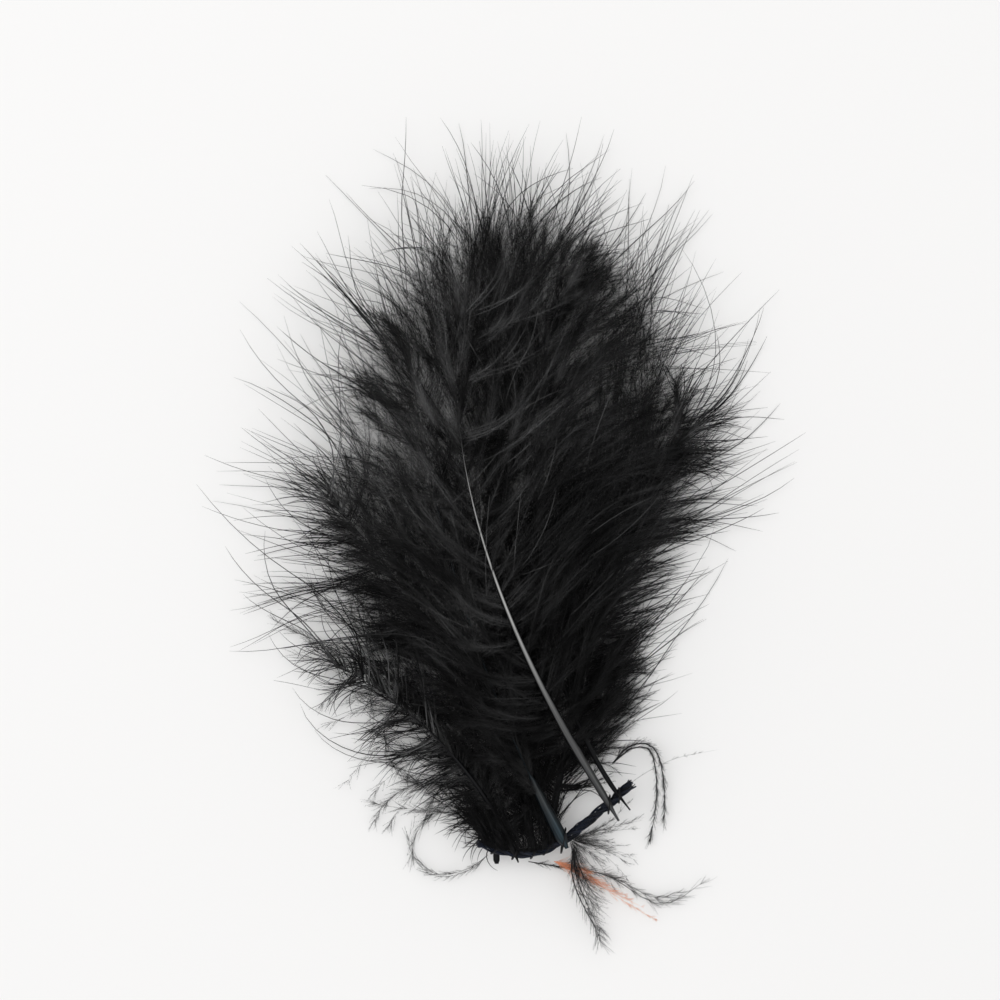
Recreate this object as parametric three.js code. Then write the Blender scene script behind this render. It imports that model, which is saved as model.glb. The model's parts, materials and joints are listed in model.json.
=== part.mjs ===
// A tuft of black marabou cut from a feather boa: seven dyed turkey down feathers, their quills
// sewn side by side across a short three-strand stringing cord, all lying flat on a table.
// Millimetres. +Z up from the table, +Y along the feathers towards their tips.
import * as THREE from 'three';

// The stringing cord
const CORD_HEIGHT = 5; // its centreline above the table
const STRANDS = 3;
const STRAND_RADIUS = 0.34;
const STRAND_OFFSET = 0.51; // a strand's centre from the cord's centreline
const CORD_TWISTS = 2.25; // turns over the whole cord
const CORD_RADIUS = STRAND_OFFSET + STRAND_RADIUS;
const CORD_ROUTE = [[23.8, -51.3], [17.6, -56.7], [11.6, -61.3], [6, -63.7], [0.6, -63.5], [-3.7, -61.9]];

// The stitches: one loop of thread over each quill and round the cord
const THREAD_RADIUS = 0.15;
const STITCH_ANGLE = 40; // degrees between a loop's plane and its quill
const CLEARANCE = 0.28;
const SWIVEL_PLAY = 0.25; // more room beside a quill, as a share of its radius

// The feathers
const LEVEL_STEP = 2.2; // height of one feather above the one below it
const LOWEST_LEVEL = 0.6;
const RAMP_START = 1; // distance from the cord where the quills begin to spread in height
const RAMP_LENGTH = 21;
const VANE_EDGE = 0.35; // thickness at a vane's edges
const VANE_CROWN = 0.85; // how much thicker it is in the middle
const VANE_GAP = 0.3; // between a vane and its shaft
const VANE_START = 15; // where the barbs begin, from the stitch
const BARB_ANGLES = [64, 14]; // between shaft and barbs, at the vane's foot and at its tip
const BARB_BOW = 0.16; // how far a barb bows, as a share of its length
const BARB_LEAST = 0.62; // the least barb length, as a share of a feather's reach
const BARB_SWELL = [0.15, 0.75]; // the part of a sine's half wave that barb lengths follow up a vane
const SOLID_SHARE = 0.86; // a vane's solid ends where its barbs thin out
const TIP_SHARE = 0.2; // shaft radius at the tip, as a share of the quill's
const SHAFT_TAPER = 3.5; // above 1 the shaft thins soon after its quill
const SHAFT_STEP = 1.5; // between the points that a shaft's line is drawn through

// One row per feather, from the cord's right-hand end. seat is its place along the cord and butt
// the quill beyond it; heading and bend are degrees, anticlockwise from +X; ease above 1 bends the
// tip more than the quill; level counts up from the table; over says that the quill lies on the cord.
const FEATHERS = [
  {
    id: 2, seat: 3.1, butt: 3.2, radius: 0.45, over: true,
    level: 4, heading: 128, bend: -56, ease: 0.7, length: 101, reach: 27,
  },
  {
    id: 1, seat: 5.5, butt: 3.3, radius: 0.7, over: true,
    level: 6, heading: 121, bend: -38, ease: 1.6, length: 97, reach: 27,
  },
  {
    id: 3, seat: 16, butt: 1.4, radius: 1.15, over: true,
    level: 5, heading: 118, bend: -22, ease: 1, length: 96, reach: 29,
  },
  {
    id: 6, seat: 18.9, butt: 1, radius: 0.6, over: false,
    level: 1, heading: 82, bend: -20, ease: 1, length: 85, reach: 27,
  },
  {
    id: 5, seat: 21.7, butt: 1, radius: 0.6, over: false,
    level: 0, heading: 101, bend: -18, ease: 1, length: 105, reach: 27,
  },
  {
    id: 7, seat: 25.2, butt: 1.6, radius: 0.5, over: true,
    level: 3, heading: 112, bend: 42, ease: 0.9, length: 50, reach: 24,
  },
  {
    id: 4, seat: 28.7, butt: 2.9, radius: 0.6, over: false,
    level: 2, heading: 92, bend: 44, ease: 0.8, length: 75, reach: 28,
  },
];

// Downy afterfeathers at the foot of four feathers, and one stray dyed plume caught in the cord.
// Each runs through its points, [x, y, height], and is as wide as given in the middle.
const PLUMES = [
  {
    name: 'afterfeather_1', width: 2.6, colour: 'down',
    points: [[20.2, -47.4, 7.4], [23.6, -44.3, 6], [27.8, -44.9, 4.4], [29.2, -52, 2.6], [28.3, -63, 1]],
  },
  {
    name: 'afterfeather_2', width: 3.2, colour: 'down',
    points: [[13.4, -63, 5.2], [13.7, -67, 5], [15.6, -72, 4.4], [20.2, -80.6, 2.4]],
  },
  {
    name: 'afterfeather_3', width: 2.8, colour: 'down',
    points: [[5.2, -65.8, 2.2], [9.6, -66.6, 1.6], [19.6, -68.4, 1.2], [29.4, -73.4, 1], [38, -68.6, 0.9]],
  },
  {
    name: 'afterfeather_4', width: 3, colour: 'down',
    points: [
      [-2.2, -64.6, 2.2], [-6, -67.4, 1.7], [-12.4, -68.2, 1.3], [-16.6, -62.6, 1], [-13.4, -56.8, 0.9],
    ],
  },
  {
    name: 'dyed_plume', width: 4, colour: 'salmon',
    points: [[9.8, -65.6, 3.4], [15, -68.2, 3], [21, -71, 2.8], [29.8, -75.2, 2.6]],
  },
];
const PLUME_THICKNESS = 0.8;
const PLUME_END = 0.12; // a plume's width at its ends, as a share of its width in the middle

const finishes = {
  shaft: new THREE.MeshStandardMaterial({ name: 'quill', color: 0x1b1d1f, roughness: 0.38 }),
  vane: new THREE.MeshStandardMaterial({ name: 'black_down', color: 0x0b0b0c, roughness: 0.9 }),
  cord: new THREE.MeshStandardMaterial({ name: 'navy_cord', color: 0x0e1420, roughness: 0.75 }),
  thread: new THREE.MeshStandardMaterial({ name: 'sewing_thread', color: 0x0c0e14, roughness: 0.7 }),
  down: new THREE.MeshStandardMaterial({ name: 'grey_down', color: 0x2a2a2c, roughness: 0.95 }),
  salmon: new THREE.MeshStandardMaterial({ name: 'salmon_down', color: 0xe08a68, roughness: 0.95 }),
};

const UP = new THREE.Vector3(0, 0, 1);
const cordLine = new THREE.CatmullRomCurve3(
  CORD_ROUTE.map(([x, y]) => new THREE.Vector3(x, y, CORD_HEIGHT)),
);
const cordLength = cordLine.getLength();
const cordSamples = cordLine.getSpacedPoints(60);

const tuft = new THREE.Group();

function add(name, geometry, material) {
  const mesh = new THREE.Mesh(geometry, material);
  mesh.name = name;
  tuft.add(mesh);
}

// Moves every vertex of a closed geometry to where place(vertex) says.
function reshape(geometry, place) {
  const position = geometry.attributes.position;
  const vertex = new THREE.Vector3();
  for (let i = 0; i < position.count; i += 1) {
    const moved = place(vertex.fromBufferAttribute(position, i));
    position.setXYZ(i, moved.x, moved.y, moved.z);
  }
  geometry.computeVertexNormals();
  return geometry;
}

function direction(degrees) {
  const angle = THREE.MathUtils.degToRad(degrees);
  return new THREE.Vector3(Math.cos(angle), Math.sin(angle), 0);
}

// The direction to the left of a course, level with the table.
function leftOf(course) {
  return new THREE.Vector3(-course.y, course.x, 0).normalize();
}

// A round rod along a curve, from radius start to radius end. A taper above 1 thins it early.
function taperedRod(curve, start, end, taper, steps) {
  const sides = 6;
  return reshape(new THREE.CylinderGeometry(1, 1, 1, sides, steps), (vertex) => {
    const along = vertex.y + 0.5;
    const course = curve.getTangentAt(along);
    const side = leftOf(course);
    const top = new THREE.Vector3().crossVectors(course, side);
    const radius = end + (start - end) * (1 - along) ** taper;
    return curve.getPointAt(along)
      .addScaledVector(side, -vertex.x * radius)
      .addScaledVector(top, vertex.z * radius);
  });
}

// --- Cord and stitches ---

function strand(number) {
  const phase = (number / STRANDS) * 2 * Math.PI;
  const points = cordSamples.map((centre, i) => {
    const along = i / (cordSamples.length - 1);
    const turn = phase + along * CORD_TWISTS * 2 * Math.PI;
    const side = leftOf(cordLine.getTangentAt(along));
    return centre.clone()
      .addScaledVector(side, Math.cos(turn) * STRAND_OFFSET)
      .addScaledVector(UP, Math.sin(turn) * STRAND_OFFSET);
  });
  return taperedRod(new THREE.CatmullRomCurve3(points), STRAND_RADIUS, STRAND_RADIUS, 1, 26);
}

function seatOf(feather) {
  return cordLine.getPointAt(feather.seat / cordLength);
}

// The quill's height above the cord's centreline: it lies on the cord, or under it.
function quillRise(feather) {
  return (feather.over ? 1 : -1) * (CORD_RADIUS + CLEARANCE + feather.radius);
}

function stitch(feather) {
  const quill = direction(feather.heading);
  const cord = cordLine.getTangentAt(feather.seat / cordLength);
  const angle = THREE.MathUtils.degToRad(STITCH_ANGLE);
  const wide = quill.clone().multiplyScalar(Math.cos(angle));
  wide.addScaledVector(cord, -Math.sin(angle)).normalize();
  const axial = new THREE.Vector3().crossVectors(wide, UP);
  const far = CORD_RADIUS + 2 * feather.radius + 2 * CLEARANCE + THREAD_RADIUS;
  const near = CORD_RADIUS + CLEARANCE + THREAD_RADIUS;
  const tall = (far + near) / 2;
  const middle = ((far - near) / 2) * (feather.over ? 1 : -1);
  // Half the loop's width where it passes a rod of this radius, course and height above the cord.
  const passing = (radius, course, play, rise) => {
    const across = Math.abs(axial.dot(course));
    return (radius / across + play + THREAD_RADIUS) / Math.sqrt(1 - ((rise - middle) / tall) ** 2);
  };
  const play = CLEARANCE + SWIVEL_PLAY * feather.radius;
  const halfWidth = Math.max(
    passing(feather.radius, quill, play, quillRise(feather)),
    passing(CORD_RADIUS, cord, CLEARANCE, 0),
  );
  const centre = seatOf(feather).addScaledVector(UP, middle);
  return reshape(new THREE.TorusGeometry(1, THREAD_RADIUS, 6, 16), (vertex) => {
    const turn = Math.atan2(vertex.y, vertex.x);
    const outward = Math.hypot(vertex.x, vertex.y) - 1;
    const slope = new THREE.Vector2(Math.cos(turn) / halfWidth, Math.sin(turn) / tall).normalize();
    return centre.clone()
      .addScaledVector(wide, Math.cos(turn) * halfWidth + slope.x * outward)
      .addScaledVector(UP, Math.sin(turn) * tall + slope.y * outward)
      .addScaledVector(axial, vertex.z);
  });
}

// --- Feathers ---

// The feathers lie on one another in levels, which close up to the cord's thickness at the stitches.
function heightAt(feather, x, y) {
  const distance = Math.min(...cordSamples.map((point) => Math.hypot(point.x - x, point.y - y)));
  const ramp = THREE.MathUtils.smoothstep(distance, RAMP_START, RAMP_START + RAMP_LENGTH);
  const level = LOWEST_LEVEL + LEVEL_STEP * feather.level;
  return THREE.MathUtils.lerp(CORD_HEIGHT + quillRise(feather), level, ramp);
}

function shaftLine(feather) {
  const place = seatOf(feather).addScaledVector(direction(feather.heading), -feather.butt);
  const points = [];
  for (let along = -feather.butt; along < feather.length + SHAFT_STEP; along += SHAFT_STEP) {
    points.push(new THREE.Vector3(place.x, place.y, heightAt(feather, place.x, place.y)));
    const share = Math.max(0, along + SHAFT_STEP / 2) / feather.length;
    place.addScaledVector(direction(feather.heading + feather.bend * share ** feather.ease), SHAFT_STEP);
  }
  return new THREE.CatmullRomCurve3(points);
}

// A vane: from its shaft out to where its barbs thin out, with a flat underside and a crowned top.
function vane(feather, shaft, side) {
  const whole = shaft.getLength();
  const first = (VANE_START + feather.butt) / whole;
  return reshape(new THREE.BoxGeometry(1, 1, 1, 4, 12, 1), (vertex) => {
    const along = vertex.y + 0.5;
    const out = side > 0 ? 0.5 - vertex.x : vertex.x + 0.5;
    const root = THREE.MathUtils.lerp(first, 1, along);
    const course = shaft.getTangentAt(root).setZ(0).normalize();
    const away = leftOf(course).multiplyScalar(side);
    const lean = THREE.MathUtils.degToRad(THREE.MathUtils.lerp(...BARB_ANGLES, along));
    const swell = Math.sin(Math.PI * THREE.MathUtils.lerp(...BARB_SWELL, along));
    const barb = feather.reach * THREE.MathUtils.lerp(BARB_LEAST, 1, swell);
    const run = out * barb * SOLID_SHARE;
    const bow = BARB_BOW * barb * Math.sin(Math.PI * out);
    const start = feather.radius + VANE_GAP;
    const point = shaft.getPointAt(root)
      .addScaledVector(course, Math.cos(lean) * run - Math.sin(lean) * bow)
      .addScaledVector(away, start + Math.sin(lean) * run + Math.cos(lean) * bow);
    const crown = VANE_CROWN * Math.sin(Math.PI * out) * Math.sqrt(Math.sin(Math.PI * along));
    const base = heightAt(feather, point.x, point.y) - LOWEST_LEVEL;
    point.z = base + (vertex.z > 0 ? VANE_EDGE + crown : 0);
    return point;
  });
}

// --- Plumes ---

function plume({ width, points }) {
  const line = new THREE.CatmullRomCurve3(points.map((point) => new THREE.Vector3(...point)));
  return reshape(new THREE.BoxGeometry(1, 1, 1, 1, 14, 1), (vertex) => {
    const along = vertex.y + 0.5;
    const spread = width * THREE.MathUtils.lerp(PLUME_END, 1, Math.sin(Math.PI * along));
    const left = leftOf(line.getTangentAt(along));
    return line.getPointAt(along)
      .addScaledVector(left, -vertex.x * spread)
      .addScaledVector(UP, vertex.z * PLUME_THICKNESS);
  });
}

for (let number = 0; number < STRANDS; number += 1) {
  add(`cord_strand_${number + 1}`, strand(number), finishes.cord);
}
for (const feather of FEATHERS) {
  const shaft = shaftLine(feather);
  const rod = taperedRod(shaft, feather.radius, feather.radius * TIP_SHARE, SHAFT_TAPER, 18);
  add(`stitch_${feather.id}`, stitch(feather), finishes.thread);
  add(`shaft_${feather.id}`, rod, finishes.shaft);
  add(`left_vane_${feather.id}`, vane(feather, shaft, 1), finishes.vane);
  add(`right_vane_${feather.id}`, vane(feather, shaft, -1), finishes.vane);
}
for (const row of PLUMES) {
  add(row.name, plume(row), finishes[row.colour]);
}

// The origin is at the middle of the tuft, on the table.
const box = new THREE.Box3().setFromObject(tuft);
const middle = box.getCenter(new THREE.Vector3());
tuft.position.set(-middle.x, -middle.y, -box.min.z);

export default tuft;
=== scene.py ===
import json
import math

import bmesh
import bpy
import numpy as np
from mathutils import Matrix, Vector


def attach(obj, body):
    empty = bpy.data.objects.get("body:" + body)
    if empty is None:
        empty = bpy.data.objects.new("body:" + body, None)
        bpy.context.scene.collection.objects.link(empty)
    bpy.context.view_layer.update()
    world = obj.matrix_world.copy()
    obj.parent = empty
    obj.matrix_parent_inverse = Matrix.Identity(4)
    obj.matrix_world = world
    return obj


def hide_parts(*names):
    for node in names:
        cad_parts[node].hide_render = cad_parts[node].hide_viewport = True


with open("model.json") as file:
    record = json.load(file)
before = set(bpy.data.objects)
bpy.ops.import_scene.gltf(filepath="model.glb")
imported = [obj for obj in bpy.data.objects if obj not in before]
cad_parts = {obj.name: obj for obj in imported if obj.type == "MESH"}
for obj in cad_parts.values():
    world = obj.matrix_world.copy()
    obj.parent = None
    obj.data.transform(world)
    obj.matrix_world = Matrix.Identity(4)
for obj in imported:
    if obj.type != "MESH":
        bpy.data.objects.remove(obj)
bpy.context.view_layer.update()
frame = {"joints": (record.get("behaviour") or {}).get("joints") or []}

MM = 0.001
UP = np.array([0.0, 0.0, 1.0])
BAKE_MAP = "OFBake"  # the name of the UV map that each piece gets and its materials read

# ---------------------------------------------------------------- the tuft's plan, in millimetres

# The drawing's origin is the middle of the tuft; the imported model's is under the middle of its box.
DRAWING_SHIFT = np.array([1.2382, 7.6027, 0])

CORD_ROUTE = [(23.8, -51.3), (17.6, -56.7), (11.6, -61.3), (6, -63.7), (0.6, -63.5), (-3.7, -61.9)]
CORD_HEIGHT = 5.0
CORD_RADIUS = 0.85
CORD_TWISTS = 2.25
STRANDS = 3
STRAND_OFFSET = 0.51
STRAND_RADIUS = 0.34
THREAD_RADIUS = 0.15
STITCH_ANGLE = 40
CLEARANCE = 0.28
SWIVEL_PLAY = 0.25
PULLED = 0.82  # a thread loop is pulled in to this share of its solid's width
RAMP_START = 1.0
RAMP_LENGTH = 21.0
LOWEST_LEVEL = 0.6
LEVEL_STEP = 2.2
MIDDLE_LEVEL = 3  # the feathers above this level are the upper ones
TOP_LEVEL = 6
SHAFT_STEP = 0.75
CORD_STEPS = 120
TABLE_GAP = 0.03  # nothing sinks closer to the table than this

# butt is how far a quill stands out past its stitch, radius its thickest, and over whether it lies
# over the cord or under it; level counts up from the table, from 0; heading and bend are in degrees,
# anticlockwise from +X, and a larger ease keeps more of the bend for the tip. bare is the length of
# quill without barbs, from the stitch, and clear what is added to it on the right; barb is how long
# the barbs grow, and close how closely; most is the sharpest turn of a barb in degrees; hiding is the
# share of tufts across the shaft, and tangled barbs curl every way.
FEATHERS = {
    1: dict(butt=3.3, radius=0.7, over=True, level=6, heading=121, bend=-38, ease=1.6, length=97,
            bare=13, barb=34, close=1.0),
    2: dict(butt=3.2, radius=0.45, over=True, level=4, heading=128, bend=-56, ease=0.7, length=101,
            bare=14, barb=34, close=1.0),
    3: dict(butt=1.4, radius=1.15, over=True, level=5, heading=118, bend=-22, ease=1, length=96,
            bare=9, barb=35, close=0.85),
    4: dict(butt=2.9, radius=0.6, over=False, level=2, heading=92, bend=44, ease=0.8, length=75,
            bare=2, barb=34, close=1.3, most=45),
    5: dict(butt=1.0, radius=0.6, over=False, level=0, heading=101, bend=-18, ease=1, length=105,
            bare=2, barb=38, close=1.1, clear=6),
    6: dict(butt=1.0, radius=0.6, over=False, level=1, heading=82, bend=-20, ease=1, length=85,
            bare=3, barb=38, close=1.5, most=30, clear=7),
    7: dict(butt=1.6, radius=0.5, over=True, level=3, heading=112, bend=42, ease=0.9, length=50,
            bare=2, barb=32, close=1.1, hiding=0.1, tangled=True),
}
for number, feather in FEATHERS.items():
    joint = next(j for j in frame["joints"] if j["name"] == f"swivel_{number}")
    feather["seat"] = np.array(joint["pos_m"]) / MM


# ---------------------------------------------------------------- lines and heights

def unit(vectors):
    return vectors / np.maximum(np.linalg.norm(vectors, axis=-1, keepdims=True), 1e-12)


def smoothstep(values, low, high):
    share = np.clip((values - low) / (high - low), 0, 1)
    return share * share * (3 - 2 * share)


def direction(degrees):
    angle = np.radians(degrees)
    return np.stack([np.cos(angle), np.sin(angle), np.zeros_like(angle)], -1)


def heading_of(course):
    """The angle of each course over the table, in degrees."""
    return np.degrees(np.arctan2(course[:, 1], course[:, 0]))


def walk(size, heading):
    """How far lines of these sizes have come at each step, along their headings [line, step]."""
    steps = heading.shape[1]
    return np.cumsum(size[:, None, None] / steps * direction(heading)[..., :2], axis=1)


def resample(line, shares):
    """The points of a line at these shares of its length."""
    steps = np.linalg.norm(np.diff(line, axis=0), axis=1)
    along = np.concatenate([[0], np.cumsum(steps)])
    along /= along[-1]
    return np.stack([np.interp(shares, along, line[:, i]) for i in range(line.shape[1])], -1)


def spline(points, count):
    """A smooth line through the points, as evenly spaced points."""
    points = np.array(points, float)
    ends = np.vstack([2 * points[0] - points[1], points, 2 * points[-1] - points[-2]])
    between = 24
    share = np.linspace(0, 1, between, endpoint=False)[:, None]
    dense = [
        0.5 * (2 * b + (c - a) * share + (2 * a - 5 * b + 4 * c - d) * share**2
               + (3 * b - a - 3 * c + d) * share**3)
        for a, b, c, d in zip(ends, ends[1:], ends[2:], ends[3:])
    ]
    return resample(np.vstack(dense + [points[-1:]]), np.linspace(0, 1, count))


cord_line = spline([(x, y, CORD_HEIGHT) for x, y in CORD_ROUTE], CORD_STEPS + 1) + DRAWING_SHIFT


def level_height(feather, x, y):
    """Height of a feather's own level over this place; the levels close up at the stitches."""
    gap = np.hypot(x[..., None] - cord_line[::4, 0], y[..., None] - cord_line[::4, 1]).min(-1)
    ramp = smoothstep(gap, RAMP_START, RAMP_START + RAMP_LENGTH)
    level = LOWEST_LEVEL + LEVEL_STEP * feather["level"]
    return feather["seat"][2] + (level - feather["seat"][2]) * ramp


def shaft_line(feather):
    """The route of a feather's shaft, from its butt under or over the cord to its tip."""
    place = feather["seat"][:2] - feather["butt"] * direction(feather["heading"])[:2]
    points = []
    for along in np.arange(-feather["butt"], feather["length"] + SHAFT_STEP, SHAFT_STEP):
        points.append(place.copy())
        share = max(0.0, along + SHAFT_STEP / 2) / feather["length"]
        turn = feather["bend"] * share ** feather["ease"]
        place += SHAFT_STEP * direction(feather["heading"] + turn)[:2]
    points = np.array(points)
    return np.column_stack([points, level_height(feather, points[:, 0], points[:, 1])])


# ---------------------------------------------------------------- mesh work

def deselect():
    for item in bpy.context.selected_objects:
        item.select_set(False)


def make_active(item):
    deselect()
    item.select_set(True)
    bpy.context.view_layer.objects.active = item


def vertex_points(item):
    points = np.empty(len(item.data.vertices) * 3)
    item.data.vertices.foreach_get("co", points)
    return points.reshape(-1, 3)


def move_vertices(item, points):
    """Moves the vertices to these points, given in millimetres."""
    item.data.vertices.foreach_set("co", (points * MM).ravel())


def finish_piece(piece, name, material, body, replaced=()):
    """Names a piece, gives it its finish, and says which body it rides on and what it replaces."""
    piece.name = name
    piece.data.name = name
    piece.data.materials.clear()
    piece.data.materials.append(material)
    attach(piece, body)
    if replaced:
        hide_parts(*replaced)


def mesh_piece(points, faces, places):
    """A piece from points in millimetres, triangles and a UV place per point."""
    mesh = bpy.data.meshes.new("piece")
    mesh.vertices.add(len(points))
    mesh.vertices.foreach_set("co", (points * MM).astype(np.float32).ravel())
    mesh.loops.add(faces.size)
    mesh.loops.foreach_set("vertex_index", faces.astype(np.int32).ravel())
    mesh.polygons.add(len(faces))
    mesh.polygons.foreach_set("loop_start", np.arange(0, faces.size, 3, dtype=np.int32))
    mesh.polygons.foreach_set("use_smooth", np.ones(len(faces), bool))
    layer = mesh.uv_layers.new(name=BAKE_MAP)
    layer.uv.foreach_set("vector", places[faces.ravel()].astype(np.float32).ravel())
    mesh.update(calc_edges=True)
    piece = bpy.data.objects.new("piece", mesh)
    bpy.context.scene.collection.objects.link(piece)
    return piece


def tubes(lines, radii, sides):
    """Closed tubes along lines [tube, step, xyz]: points, triangles and a UV place per point."""
    count, steps = lines.shape[:2]
    course = unit(np.gradient(lines, axis=1))
    side = unit(np.cross(course, UP))
    top = np.cross(side, course)
    angle = np.arange(sides) * 2 * np.pi / sides
    ring = np.cos(angle)[:, None] * side[:, :, None] + np.sin(angle)[:, None] * top[:, :, None]
    points = lines[:, :, None] + radii[:, :, None, None] * ring
    corner = np.arange(steps * sides).reshape(steps, sides)
    a, c = corner[:-1], corner[1:]
    b, d = np.roll(a, -1, 1), np.roll(c, -1, 1)
    wall = np.stack([a, d, b, a, c, d], -1).reshape(-1, 3)
    fan = np.arange(1, sides - 1)
    first = np.stack([np.zeros_like(fan), fan, fan + 1], -1)
    last = first[:, ::-1] + (steps - 1) * sides
    one = np.concatenate([wall, first, last])
    faces = (one[None] + np.arange(count)[:, None, None] * steps * sides).reshape(-1, 3)
    along = np.broadcast_to(np.linspace(0, 1, steps)[None, :, None], points.shape[:3])
    row = np.arange(count)[:, None, None] + 0.3 + 0.4 * np.arange(sides) / sides
    row = np.broadcast_to(row, points.shape[:3]) / count
    return points.reshape(-1, 3), faces, np.stack([along, row], -1).reshape(-1, 2)


def spikes(roots, course, across, length, angle, width):
    """Pairs of barbules, one to each side of a barb, each pair a closed body of six triangles."""
    beside = np.cross(across, course)
    turn = np.arange(3) * 2 * np.pi / 3
    ring = np.cos(turn)[:, None] * course[:, None] + np.sin(turn)[:, None] * beside[:, None]
    ring = roots[:, None] + width[:, None, None] * ring
    lean = np.cos(angle)[:, None] * course
    out = np.sin(angle)[:, None] * across
    tips = np.stack([roots + length[:, :1] * (lean + out), roots + length[:, 1:] * (lean - out)], 1)
    points = np.concatenate([ring, tips], 1)
    one = np.array([[0, 1, 3], [1, 2, 3], [2, 0, 3], [1, 0, 4], [2, 1, 4], [0, 2, 4]])
    faces = (one[None] + np.arange(len(roots))[:, None, None] * 5).reshape(-1, 3)
    return points.reshape(-1, 3), faces


def down(lines, core, spacing, reach, angles, chance, width=0.03):
    """A bunch of barbs as one piece: a tapered core of this radius along each line, with pairs of
    barbules this far apart. reach(barb, share) is a barbule's length, angles its lean's range."""
    random = np.random.default_rng(chance)
    count, steps = lines.shape[:2]
    thinnest, shortest = 0.1, 0.1
    taper = (1 - np.linspace(0, 1, steps)) ** 0.55
    core = core * random.uniform(0.75, 1.25, (count, 1))
    points, faces, places = tubes(lines, core * (thinnest + (1 - thinnest) * taper), 3)
    length = np.linalg.norm(np.diff(lines, axis=1), axis=2).sum(1)
    pairs = max(4, int(length.mean() / spacing))
    share = (np.arange(pairs) + random.uniform(0.1, 0.9, (count, pairs))) / pairs
    tip = reach(np.arange(count)[:, None], share)
    barb, station = np.nonzero(tip > shortest)
    share, tip = share[barb, station], tip[barb, station]
    at = share * (steps - 1)
    low = np.minimum(at.astype(int), steps - 2)
    part = (at - low)[:, None]
    root = lines[barb, low] * (1 - part) + lines[barb, low + 1] * part
    course = unit(lines[barb, low + 1] - lines[barb, low])
    level = unit(np.cross(UP, course))
    roll = random.normal(0, 0.6, len(root))[:, None]
    across = unit(np.cos(roll) * level + np.sin(roll) * np.cross(course, level))
    tip = tip[:, None] * random.uniform(0.5, 1.25, (len(root), 2))
    angle = np.radians(random.uniform(*angles, len(root)))
    thick = width * random.uniform(0.7, 1.3, len(root))
    more, more_faces = spikes(root, course, across, tip, angle, thick)
    # on the piece's map a barbule pair is a small arrow at its barb's row
    arrow = np.array([[0.004, 0], [-0.004, 0.08], [-0.004, -0.08], [0.012, 0.3], [0.012, -0.3]])
    spot = np.stack([share, (barb + 0.5) / count], -1)[:, None] + arrow * np.array([0.9, 1 / count])
    faces = np.concatenate([faces, more_faces + len(points)])
    places = np.concatenate([places, spot.reshape(-1, 2)]).clip(0, 1)
    points = np.concatenate([points, more])
    points[:, 2] = np.maximum(points[:, 2], TABLE_GAP)
    return mesh_piece(points, faces, places)


# ---------------------------------------------------------------- materials

def grey(value):
    return (value, value, value)


BLACK, WHITE = grey(0), grey(1)


def new_material(name, roughness, specular):
    material = bpy.data.materials.new(name)
    material.use_nodes = True
    shader = material.node_tree.nodes["Principled BSDF"]
    shader.inputs["Roughness"].default_value = roughness
    shader.inputs["Specular IOR Level"].default_value = specular
    return material, material.node_tree, shader


def mapped(tree, source, scale):
    mapping = tree.nodes.new("ShaderNodeMapping")
    mapping.inputs["Scale"].default_value = scale
    tree.links.new(source, mapping.inputs["Vector"])
    return mapping.outputs["Vector"]


def noise(tree, vector):
    node = tree.nodes.new("ShaderNodeTexNoise")
    node.inputs["Scale"].default_value = 1
    node.inputs["Detail"].default_value = 3
    tree.links.new(vector, node.inputs["Vector"])
    return node.outputs["Fac"]


def colours(tree, source, stops):
    node = tree.nodes.new("ShaderNodeValToRGB")
    while len(node.color_ramp.elements) < len(stops):
        node.color_ramp.elements.new(0.5)
    for element, (place, colour) in zip(node.color_ramp.elements, stops):
        element.position = place
        element.color = (*colour, 1)
    tree.links.new(source, node.inputs["Fac"])
    return node.outputs["Color"]


def plain(tree, colour):
    node = tree.nodes.new("ShaderNodeRGB")
    node.outputs["Color"].default_value = (*colour, 1)
    return node.outputs["Color"]


def parted(tree, vector):
    node = tree.nodes.new("ShaderNodeSeparateXYZ")
    tree.links.new(vector, node.inputs["Vector"])
    return node.outputs


def piece_map(tree):
    node = tree.nodes.new("ShaderNodeUVMap")
    node.uv_map = BAKE_MAP
    return node.outputs["UV"]


def blended(tree, share, first, second):
    mix = tree.nodes.new("ShaderNodeMix")
    mix.data_type = "RGBA"
    tree.links.new(share, mix.inputs["Factor"])
    tree.links.new(first, mix.inputs["A"])
    tree.links.new(second, mix.inputs["B"])
    return mix.outputs["Result"]


def painted_shade_and_patches(tree, dark, body, middle):
    """Paints shade onto the pile round this place, given in millimetres, and darkens it in broad soft
    patches.
    """
    where = tree.nodes.new("ShaderNodeTexCoord").outputs["Object"]
    stretch = (1.2, 0.8, 0)
    distance = tree.nodes.new("ShaderNodeVectorMath")
    distance.operation = "DISTANCE"
    tree.links.new(mapped(tree, where, stretch), distance.inputs[0])
    distance.inputs[1].default_value = (middle[0] * stretch[0] * MM, middle[1] * stretch[1] * MM, 0)
    near = tree.nodes.new("ShaderNodeMapRange")
    near.inputs["From Min"].default_value = 8 * MM
    near.inputs["From Max"].default_value = 42 * MM
    tree.links.new(distance.outputs["Value"], near.inputs["Value"])
    # painted shade: the pile's colour darkens towards this place
    painted_light_share = colours(tree, near.outputs["Result"], [(0, grey(0.2)), (1, WHITE)])
    patches = noise(tree, mapped(tree, where, (55, 40, 10)))
    broad = colours(tree, patches, [(0.35, grey(0.35)), (0.6, WHITE)])
    black = plain(tree, dark)
    return blended(tree, broad, black, blended(tree, painted_light_share, black, body))


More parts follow.
